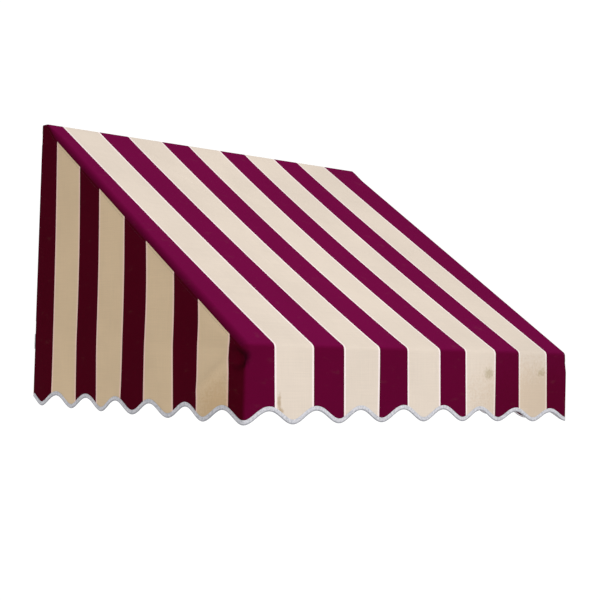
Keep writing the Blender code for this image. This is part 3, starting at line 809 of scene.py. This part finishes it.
def striped_canvas(settings):
    """Solution-dyed acrylic canvas: broad stripes, pale yarns at their edges, fading with painted light
    and shade, painted shade in creases and patches, brownish spots and dust.
    """
    nodes = Nodes("canvas_stripes", settings.burgundy)
    colour = stripes(nodes, settings)
    warp = nodes.times(nodes.noise(nodes.flat(0.0016, 0.09), 1.0, 2.0), 0.5)
    weft = nodes.times(nodes.noise(nodes.flat(0.12, 0.0021), 1.0, 2.0), 0.5)
    streaks = nodes.math("ADD", warp, weft)
    cloud = nodes.noise(nodes.place(), 5.0, 4.0, 0.55)
    streaky, cloudy = nodes.ramp(streaks, 0.25, 0.75, 0.96, 1.04), nodes.ramp(cloud, 0.3, 0.7, 0.97, 1.03)
    colour = nodes.darken(1.0, colour, nodes.grey(nodes.times(streaky, cloudy)))
    specks = nodes.noise(nodes.place((1, 1, 2.6)), 21.0, 5.0, 0.62)
    colour = nodes.mix(nodes.ramp(specks, 0.58, 0.85, 0.0, 0.05), colour, srgb(168, 148, 118))
    for centre, size, strength, tone in BROWN_SPOTS:
        colour = nodes.mix(nodes.times(nodes.spot(centre, size), strength), colour, tone)
    # Painted shade: darker, yellower patches.
    for centre, size in SHADE_PATCHES:
        colour = nodes.darken(nodes.spot(centre, size), colour, SHADE_TINT)
    # Painted shade in the creases round the front corners.
    crease_shade = nodes.times(nodes.attribute("crease"), 0.85)
    colour = nodes.mix(crease_shade, colour, (0.012, 0.0008, 0.002))
    yarns = nodes.bump(nodes.weave(settings.yarn_pitch), 0.35, 0.00012)
    slubs = nodes.bump(streaks, 0.25, 0.0004, Normal=yarns)
    return nodes.surface(colour, nodes.ramp(streaks, 0.3, 0.7, 0.74, 0.88), slubs, specular=0.015)


def binding_tape():
    """Grey woven tape with a fine rib along it and painted shade on its fold under the hem."""
    nodes = Nodes("tape_weave", (0.75, 0.75, 0.77))
    along, across, _ = nodes.split(nodes.flat(0.0011, 0.0009))
    ribs, rows = (nodes.math("SINE", nodes.times(place, 2 * math.pi)) for place in (along, across))
    woven = nodes.math("MULTIPLY_ADD", nodes.times(ribs, rows), 0.5, 0.5)
    patchy = nodes.noise(nodes.place(), 190.0, 3.0, 0.6)
    colour = nodes.mix(nodes.ramp(patchy, 0.35, 0.72), srgb(226, 225, 231), srgb(188, 190, 197))
    # Painted shade on the fold under the hem.
    fold = nodes.ramp(nodes.attribute("bleach"), 0.1, 0.9)
    colour = nodes.mix(nodes.times(fold, 0.8), colour, srgb(104, 106, 114))
    rough = nodes.ramp(patchy, 0.3, 0.7, 0.62, 0.8)
    return nodes.surface(colour, rough, nodes.bump(woven, 0.45, 0.00018), specular=0.3)


def strap_canvas(settings):
    """Plain cream canvas of the hold-down straps."""
    nodes = Nodes("plain_canvas", settings.cream)
    worn, shaded = (tuple(part * channel for channel in settings.cream) for part in (0.82, 0.7))
    threads = nodes.noise(nodes.flat(0.05, 0.0015), 1.0, 3.0)
    cloud = nodes.noise(nodes.place(), 14.0, 4.0, 0.6)
    colour = nodes.mix(nodes.ramp(cloud, 0.35, 0.75), settings.cream, worn)
    colour = nodes.mix(nodes.ramp(threads, 0.4, 0.8, 0.0, 0.3), colour, shaded)
    rough = nodes.ramp(threads, 0.3, 0.7, 0.75, 0.9)
    return nodes.surface(colour, rough, nodes.bump(nodes.weave(settings.yarn_pitch), 0.4, 0.00015))


def sewing_thread(name, colour):
    """Twisted polyester thread."""
    nodes = Nodes(name, colour)
    twist = nodes.noise(nodes.place(), 2600.0, 2.0)
    shadow = tuple(channel * 0.6 for channel in colour)
    twisted = nodes.mix(nodes.ramp(twist, 0.35, 0.7), colour, shadow)
    rough = nodes.ramp(twist, 0.3, 0.7, 0.45, 0.65)
    return nodes.surface(twisted, rough, nodes.bump(twist, 0.4, 0.0001))


def drawn_tube(name, turn=(0, 0, 0)):
    """Mill-finish aluminium with draw lines along the tube, faint scuffs and oxide bloom.

    turn brings the tube's own direction onto the pattern's x axis.
    """
    nodes = Nodes(name, (0.78, 0.79, 0.80))
    lines = nodes.noise(nodes.place((1.2, 900, 900), turn), 1.0, 3.0, 0.6)
    bloom = nodes.noise(nodes.place(), 26.0, 5.0, 0.6)
    colour = nodes.mix(nodes.ramp(bloom, 0.35, 0.75), (0.80, 0.81, 0.82), (0.66, 0.67, 0.69))
    colour = nodes.mix(nodes.ramp(lines, 0.55, 0.8, 0.0, 0.35), colour, (0.50, 0.51, 0.53))
    drawn, dull = nodes.ramp(lines, 0.3, 0.7, 0.24, 0.36), nodes.ramp(bloom, 0.4, 0.8, 0.0, 0.16)
    rough = nodes.math("ADD", drawn, dull)
    return nodes.surface(colour, rough, nodes.bump(lines, 0.12, 0.0002), metallic=1.0)


def cast_metal():
    """Tumbled aluminium casting: a fine pebbled skin, duller in its hollows."""
    nodes = Nodes("tumbled_casting", (0.70, 0.71, 0.72))
    grain = nodes.noise(nodes.place(), 900.0, 3.0, 0.6)
    patches = nodes.noise(nodes.place(), 60.0, 4.0, 0.55)
    colour = nodes.mix(nodes.ramp(patches, 0.35, 0.7), (0.68, 0.69, 0.70), (0.55, 0.56, 0.58))
    rough = nodes.ramp(patches, 0.3, 0.7, 0.42, 0.58)
    return nodes.surface(colour, rough, nodes.bump(grain, 0.35, 0.0003), metallic=1.0)


def zinc_plate(name, spangle):
    """Bright zinc plating, with spangles of the given size and dull stains."""
    nodes = Nodes(name, (0.72, 0.73, 0.75))
    cells = nodes.new("TexVoronoi", Scale=1 / spangle, Vector=nodes.place())
    tone = nodes.split(cells.outputs["Color"])[0]
    stain = nodes.noise(nodes.place(), 45.0, 5.0, 0.6)
    colour = nodes.mix(nodes.ramp(tone, 0.0, 1.0), (0.62, 0.64, 0.67), (0.80, 0.81, 0.82))
    colour = nodes.mix(nodes.ramp(stain, 0.6, 0.85, 0.0, 0.5), colour, (0.45, 0.44, 0.42))
    bright, dull = nodes.ramp(tone, 0.0, 1.0, 0.26, 0.36), nodes.ramp(stain, 0.5, 0.8, 0.0, 0.2)
    rough = nodes.math("ADD", bright, dull)
    return nodes.surface(colour, rough, nodes.bump(stain, 0.1, 0.0002), metallic=1.0)


def studio_floor():
    """Seamless matt white floor, with the faintest unevenness."""
    nodes = Nodes("studio_floor", (0.9, 0.9, 0.9))
    cloud = nodes.noise(nodes.place(), 0.7, 3.0)
    glow = nodes.tree.nodes["Principled BSDF"].inputs
    glow["Emission Color"].default_value = (1.0, 1.0, 1.0, 1.0)
    glow["Emission Strength"].default_value = 0.68
    return nodes.surface(nodes.mix(cloud, (0.93, 0.93, 0.93), (0.96, 0.96, 0.96)), 0.95, specular=0.0)


def finish(name, make, *values):
    """The named material, made the first time that it is asked for."""
    return bpy.data.materials.get(name) or make(*values)


# ---- operators ----------------------------------------------------------------------------------


class AWNING_OT_roof_cover(Operator):
    """Sew the roof and front valance, one length of canvas over the whole frame"""

    bl_idname = "awning.roof_cover"
    bl_label = "Roof and Front Valance"

    def execute(self, context):
        scene = context.scene
        settings = scene.awning_canvas
        points, cut, tone_and_shade, rows, columns = roof_points(scene.awning_shape)
        cut = [(u - settings.stripe_shift - settings.roof_skew * up, up) for u, up in cut]
        last = 2 * settings.stripe_pitch + settings.cream_width / 2 + 0.004
        cut = [(u if u < last else last + (u - last) * SLANT_TAKEN_UP, up) for u, up in cut]
        canvas = finish("canvas_stripes", striped_canvas, settings)
        cover = cloth("roof_cover", points, cut, tone_and_shade, grid_faces(rows, columns), canvas)
        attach(cover, "root")
        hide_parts("roof_panel")
        return {"FINISHED"}


class AWNING_OT_side_covers(Operator):
    """Sew the two flat side panels, each with a flap folded in behind its upright"""

    bl_idname = "awning.side_covers"
    bl_label = "Side Panels"

    def execute(self, context):
        scene = context.scene
        settings = scene.awning_canvas
        canvas = finish("canvas_stripes", striped_canvas, settings)
        middle_of_cream = settings.stripe_pitch - settings.cream_width / 2
        for label, side, away in (("left", -1, settings.left_shift), ("right", 1, settings.right_shift)):
            points, cut, tone_and_shade, columns, rows = side_points(side, scene.awning_shape)
            faces = grid_faces(columns, rows)
            self.add_flap(side, points, cut, tone_and_shade, faces, rows)
            if side > 0:
                faces = [tuple(reversed(face)) for face in faces]
            slant = [settings.side_skew * (up - SIDE_FLAP_LOW) for _, up in cut]
            cut = [(u - middle_of_cream - away + lean, up) for (u, up), lean in zip(cut, slant)]
            panel = cloth(f"side_cover_{label}", points, cut, tone_and_shade, faces, canvas)
            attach(panel, "root")
            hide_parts(f"side_panel_{label}")
        return {"FINISHED"}

    def add_flap(self, side, points, cut, tone_and_shade, faces, rows):
        """Carries the panel's rear edge round the back of the upright."""
        rear = [k for k in range(rows) if SIDE_FLAP_LOW < points[k].z < SIDE_FLAP_HIGH]
        turns = np.linspace(0, math.pi / 2, 4)[1:]
        reach = np.linspace(HALF_WIDTH - EDGE_R_TOP, SIDE_FLAP_X, 5)[1:]
        previous = rear
        for number in range(len(turns) + len(reach)):
            if number < len(turns):
                turn = turns[number]
                x = HALF_WIDTH - EDGE_R_TOP * (1 - math.cos(turn))
                y = SIDE_REAR_Y + EDGE_R_TOP * math.sin(turn)
                run = EDGE_R_TOP * turn
            else:
                x, y = reach[number - len(turns)], BACK_Y
                run = EDGE_R_TOP * math.pi / 2 + HALF_WIDTH - EDGE_R_TOP - x
            line = []
            for k in rear:
                line.append(len(points))
                points.append(Vector((side * x, y, points[k].z)))
                cut.append((-SIDE_REAR_Y - run, points[k].z))
                tone_and_shade.append((0.0, 0.0))
            for low in range(len(rear) - 1):
                faces.append((line[low], previous[low], previous[low + 1], line[low + 1]))
            previous = line


class AWNING_OT_hem_tape(Operator):
    """Fold the grey tape over the scalloped hem and stitch it down"""

    bl_idname = "awning.hem_tape"
    bl_label = "Hem Tape"

    def execute(self, context):
        shape = context.scene.awning_shape
        tape = self.tape(shape)
        pieces = [tape]
        thread = finish("tape_thread", sewing_thread, "tape_thread", srgb(214, 214, 220))
        along = np.arange(-HEM_HALF + 0.004, HEM_HALF - 0.004, STITCH_PITCH)
        for label, stand_off, facing in (("outer", TAPE_THICK, 1), ("inner", -CANVAS, -1)):
            here, out = above_hem(along, HEM_STITCH_RISE, stand_off, shape)
            ahead, _ = above_hem(along + 0.0005, HEM_STITCH_RISE, stand_off, shape)
            run = stitches(f"hem_stitches_{label}", here, ahead - here, out * facing, thread)
            pieces.append(run)
        for piece in pieces:
            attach(piece, "root")
        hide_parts("hem_binding")
        return {"FINISHED"}

    def tape(self, shape):
        """One closed loft of the folded tape from the left rear end to the right one.

        Its section is (distance out from the cloth, height above the hem) points. It starts at the
        top of the outer face, and fold_shade says how much shade is painted on the tape at each point.
        """
        outer, inner, thick = 0.00004, -CANVAS - 0.00004, TAPE_THICK
        width, hidden = TAPE_WIDTH, TAPE_HIDDEN
        section = [
            (outer, width),
            (outer + thick * 0.7, width),
            (outer + thick, width - 0.001),
            (outer + thick * 1.25, width / 2),
            (outer + thick, 0.0012),
            (outer + thick * 0.4, 0.0),
            ((outer + inner) / 2, -thick * 0.8),
            (inner - thick * 0.4, 0.0),
            (inner - thick, 0.0012),
            (inner - thick * 1.25, hidden / 2),
            (inner - thick, hidden - 0.001),
            (inner - thick * 0.7, hidden),
            (inner, hidden),
            (inner, 0.0008),
            (outer, 0.0008),
        ]
        fold_shade = [0.0, 0.0, 0.0, 0.05, 0.55, 1.0, 1.0, 1.0, 0.55, 0.05, 0, 0, 0, 0, 0]
        along = np.linspace(-HEM_HALF, HEM_HALF, TAPE_STATIONS)
        quilt = TAPE_QUILT * np.sin(np.pi * along / STITCH_PITCH)
        rings = []
        for stand_off, rise in section:
            puff = quilt * np.sign(stand_off - inner - 1e-5) * (abs(stand_off) > CANVAS / 2)
            place, _ = above_hem(along, rise, stand_off + puff, shape)
            rings.append(place)
        points = np.stack(rings, 1)
        count = len(section)
        faces = []
        for station in range(len(along) - 1):
            for k in range(count):
                a = station * count + k
                b = station * count + (k + 1) % count
                faces.append((a, a + count, b + count, b))
        faces.append(tuple(range(count)))
        faces.append(tuple(reversed(range((len(along) - 1) * count, len(along) * count))))
        steps = [math.dist(a, b) for a, b in zip(section, section[1:])]
        around = np.concatenate([[0], np.cumsum(steps)])
        cut = np.stack([np.repeat(along, count), np.tile(around, len(along))], 1)
        folds = np.tile(fold_shade, len(along))
        weave = finish("tape_weave", binding_tape)
        tape = put_mesh("hem_tape", points.reshape(-1, 3), faces, weave, cut, bleach=folds)
        shade(tape)
        return tape


class AWNING_OT_straps(Operator):
    """Wrap the hold-down straps round the front bar and the two arms"""

    bl_idname = "awning.straps"
    bl_label = "Hold-Down Straps"

    def execute(self, context):
        canvas = finish("plain_canvas", strap_canvas, context.scene.awning_canvas)
        outline = self.outline()
        low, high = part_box("front_strap")
        front = self.strip(low.x, high.x, outline, self.beside_bar)
        self.strap("front_strap", "front_bar", canvas, *front, flip=False)
        for label, place in (("left", self.beside_left_arm), ("right", self.beside_right_arm)):
            low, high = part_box(f"arm_strap_{label}")
            beside = self.strip(low.y, high.y, outline, place)
            self.strap(f"arm_strap_{label}", f"arm_{label}", canvas, *beside, flip=label == "left")
        return {"FINISHED"}

    def beside_bar(self, s, out, up):
        return s, BAR_Y + out, BAR_Z + up

    def beside_left_arm(self, s, out, up):
        return out - ARM_X, s, BAR_Z + up

    def beside_right_arm(self, s, out, up):
        return ARM_X - out, s, BAR_Z + up

    def outline(self):
        """The strap from its sewn edge, under its tube and up the far side, from the tube's middle."""
        seam = -BEND_R + CANVAS + 0.0002
        wrap = TUBE_R + 0.0004
        tangent = math.atan2(STRAP_FOLD, seam) + math.acos(wrap / math.hypot(seam, STRAP_FOLD))
        turn = (STRAP_END - tangent) % (2 * math.pi)
        outline = [(seam, STRAP_FOLD - STRAP_SEWN * (1 - k / 6)) for k in range(7)]
        for angle in np.linspace(tangent, tangent + turn, 19):
            outline.append((wrap * math.cos(angle), wrap * math.sin(angle)))
        return outline

    def strip(self, start, end, outline, place):
        """Points, flat cut and number of rows of a strap that runs from start to end."""
        lengths = [math.dist(a, b) for a, b in zip(outline, outline[1:])]
        run = np.concatenate([[0], np.cumsum(lengths)])
        points, cut = [], []
        for s in np.linspace(start, end, 70):
            ripple = 0.0006 * math.sin(23 * s) + 0.0004 * math.sin(61 * s + 1)
            for (out, up), below in zip(outline, run):
                slack = ripple * max(0.0, 1 + below / STRAP_FOLD)
                points.append(Vector(place(s, out, up + slack)))
                cut.append((s, below))
        return points, cut, (end - start, run[-1]), len(outline)

    def strap(self, name, tube, canvas, points, cut, flat, columns, flip):
        faces = grid_faces(len(points) // columns, columns)
        if flip:
            faces = [tuple(reversed(face)) for face in faces]
        tone_and_shade = [(0.5, 0.0)] * len(points)
        strap = cloth(f"{name}_cloth", points, cut, tone_and_shade, faces, canvas, STRAP_THICK)
        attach(strap, "root")
        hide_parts(name)


class AWNING_OT_seam_stitches(Operator):
    """Run the top stitching beside the seams that join the sides to the roof"""

    bl_idname = "awning.seam_stitches"
    bl_label = "Seam Stitching"

    def execute(self, context):
        thread = finish("seam_thread", sewing_thread, "seam_thread", srgb(96, 10, 52))
        shape = context.scene.awning_shape
        for label, side in (("left", -1), ("right", 1)):
            middles, alongs = self.rafter_seam(side, shape)
            outs = np.tile((float(side), 0.0, 0.0), (len(middles), 1))
            run = stitches(f"seam_stitches_{label}", middles, alongs, outs, thread)
            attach(run, "root")
        return {"FINISHED"}

    def rafter_seam(self, side, shape):
        """Places and directions of the stitches below the top edge of a side panel."""
        line = np.array(side_top_line())
        keep = (line[:, 0] < HEADER_LOW.y) & (line[:, 0] > BAR_Y + 0.01)
        line = line[keep]
        run = np.concatenate([[0], np.cumsum(np.linalg.norm(np.diff(line, axis=0), axis=1))])
        stops = np.arange(0.002, run[-1], STITCH_PITCH)
        y = np.interp(stops, run, line[:, 0]) + SEAM_STITCH_DROP * math.sin(SLOPE)
        z = np.interp(stops, run, line[:, 1]) - SEAM_STITCH_DROP * math.cos(SLOPE)
        out = side_ease(side, y, z, shape)
        middles = np.stack([side * (HALF_WIDTH + out), y, z], 1)
        alongs = np.tile((0.0, -math.cos(SLOPE), -math.sin(SLOPE)), (len(stops), 1))
        return middles, alongs


class AWNING_OT_declare_cloth(Operator):
    """Work out the roof's rows and the side panels' top line; nothing is stated with them"""

    bl_idname = "awning.declare_cloth"
    bl_label = "Flat Sizes of the Canvas"

    def execute(self, context):
        rows = profile_rows()
        top = np.array(side_top_line())
        return {"FINISHED"}


class AWNING_OT_frame_finishes(Operator):
    """Give every metal piece of the frame its finish"""

    bl_idname = "awning.frame_finishes"
    bl_label = "Frame Finishes"

    def execute(self, context):
        quarter = math.pi / 2
        across = drawn_tube("tube_across")
        out = drawn_tube("tube_out", (0, 0, -quarter))
        casting = cast_metal()
        finishes = {
            "screw_": zinc_plate("screw_zinc", 0.0012),
            "header_bracket": zinc_plate("bracket_zinc", 0.006),
            "header_corner": casting,
            "front_corner": casting,
            "foot_bracket": casting,
            "header_bar": across,
            "front_bar": across,
            "arm_left": out,
            "arm_right": out,
            "upright": drawn_tube("tube_up", (0, quarter, 0)),
            "rafter": drawn_tube("tube_sloped", (-SLOPE, 0, -quarter)),
        }
        for name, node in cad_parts.items():
            for start, metal in finishes.items():
                if name.startswith(start):
                    node.data.materials.clear()
                    node.data.materials.append(metal)
        return {"FINISHED"}


class AWNING_OT_stage(Operator):
    """Set the floor, the soft lights and the camera"""

    bl_idname = "awning.stage"
    bl_label = "Stage"

    def execute(self, context):
        settings = context.scene.awning_stage
        self.floor(HEM_Z - settings.floor_drop)
        self.lights(context.scene, settings)
        self.camera(context.scene, settings)
        context.scene.view_settings.view_transform = "Standard"
        return {"FINISHED"}

    def floor(self, height):
        """A round floor whose rim curves up, so that no edge shows from any side."""
        deselect()
        middle = (0, -0.45, height)
        bpy.ops.mesh.primitive_circle_add(vertices=96, radius=9.0, fill_type="NGON", location=middle)
        floor = bpy.context.object
        floor.name = "floor"
        bpy.ops.object.mode_set(mode="EDIT")
        bpy.ops.mesh.select_mode(type="EDGE")
        bpy.ops.mesh.select_all(action="SELECT")
        bpy.ops.mesh.region_to_loop()
        for grow, lift in ((1.06, 0.06), (1.05, 0.2), (1.04, 0.4), (1.02, 0.6)):
            bpy.ops.mesh.extrude_edges_move(TRANSFORM_OT_translate={"value": (0, 0, lift)})
            bpy.ops.transform.resize(value=(grow, grow, 1), center_override=middle)
        bpy.ops.object.mode_set(mode="OBJECT")
        bpy.ops.object.transform_apply(location=True, rotation=True, scale=True)
        floor.data.materials.append(studio_floor())
        shade(floor, math.pi)

    def lights(self, scene, settings):
        """A high key light, a low front light, a dim room and a white backdrop behind it all."""
        self.lamp(scene, "key_light", settings.key_power, 0.9, Vector((-0.1, -1.85, 2.3)))
        self.lamp(scene, "front_light", settings.front_power, 0.28, Vector((-0.42, -2.6, -0.2)))
        world = bpy.data.worlds.new("studio")
        world.use_nodes = True
        scene.world = world
        nodes, links = world.node_tree.nodes, world.node_tree.links
        room = nodes["Background"]
        room.inputs["Color"].default_value = (1.0, 0.995, 0.985, 1.0)
        room.inputs["Strength"].default_value = settings.fill_power
        backdrop = nodes.new("ShaderNodeBackground")
        backdrop.inputs["Color"].default_value = (1.0, 1.0, 1.0, 1.0)
        backdrop.inputs["Strength"].default_value = 1.05
        path = nodes.new("ShaderNodeLightPath")
        choose = nodes.new("ShaderNodeMixShader")
        links.new(path.outputs["Is Camera Ray"], choose.inputs[0])
        links.new(room.outputs[0], choose.inputs[1])
        links.new(backdrop.outputs[0], choose.inputs[2])
        links.new(choose.outputs[0], nodes["World Output"].inputs["Surface"])

    def lamp(self, scene, name, power, size, place):
        """A round soft light that faces the middle of the awning."""
        light = bpy.data.lights.new(name, "AREA")
        light.energy = power
        light.shape = "DISK"
        light.size = size
        lamp = bpy.data.objects.new(name, light)
        scene.collection.objects.link(lamp)
        lamp.location = place
        lamp.rotation_mode = "QUATERNION"
        lamp.rotation_quaternion = (place - Vector((0, -0.5, -0.3))).to_track_quat("Z", "Y")

    def camera(self, scene, settings):
        lens = bpy.data.cameras.new("camera")
        lens.lens = settings.lens
        lens.sensor_width = 36
        lens.clip_end = 60
        camera = bpy.data.objects.new("camera", lens)
        scene.collection.objects.link(camera)
        turn, pitch, roll = settings.turn, settings.pitch, settings.roll
        ahead = Vector((math.sin(turn), math.cos(turn), 0))
        forward = ahead * math.cos(pitch) + Vector((0, 0, math.sin(pitch)))
        level = Vector((math.cos(turn), -math.sin(turn), 0))
        upright = level.cross(forward)
        right = level * math.cos(roll) + upright * math.sin(roll)
        up = upright * math.cos(roll) - level * math.sin(roll)
        axes = Matrix((right, up, -forward)).transposed().to_4x4()
        camera.matrix_world = Matrix.Translation(settings.station) @ axes
        scene.camera = camera


class AWNING_PT_sidebar(Panel):
    """Lists the pieces of the awning and its settings"""

    bl_idname = "AWNING_PT_sidebar"
    bl_label = "Window Awning"
    bl_space_type = "VIEW_3D"
    bl_region_type = "UI"
    bl_category = "Awning"

    def draw(self, context):
        for group in ("awning_canvas", "awning_shape", "awning_stage"):
            settings = getattr(context.scene, group)
            column = self.layout.column(align=True)
            for name in settings.__annotations__:
                column.prop(settings, name)
        for operator in OPERATORS:
            self.layout.operator(operator.bl_idname)


OPERATORS = (
    AWNING_OT_roof_cover,
    AWNING_OT_side_covers,
    AWNING_OT_hem_tape,
    AWNING_OT_straps,
    AWNING_OT_seam_stitches,
    AWNING_OT_declare_cloth,
    AWNING_OT_frame_finishes,
    AWNING_OT_stage,
)
CLASSES = (AwningCanvas, AwningShape, AwningStage, *OPERATORS, AWNING_PT_sidebar)


def register():
    for made in CLASSES:
        bpy.utils.register_class(made)
    bpy.types.Scene.awning_canvas = PointerProperty(type=AwningCanvas)
    bpy.types.Scene.awning_shape = PointerProperty(type=AwningShape)
    bpy.types.Scene.awning_stage = PointerProperty(type=AwningStage)


def unregister():
    del bpy.types.Scene.awning_stage
    del bpy.types.Scene.awning_shape
    del bpy.types.Scene.awning_canvas
    for made in reversed(CLASSES):
        bpy.utils.unregister_class(made)


def main():
    register()
    bpy.ops.awning.roof_cover()
    bpy.ops.awning.side_covers()
    bpy.ops.awning.hem_tape()
    bpy.ops.awning.straps()
    bpy.ops.awning.seam_stitches()
    bpy.ops.awning.declare_cloth()
    bpy.ops.awning.frame_finishes()
    bpy.ops.awning.stage()


if __name__ == "__main__":
    main()
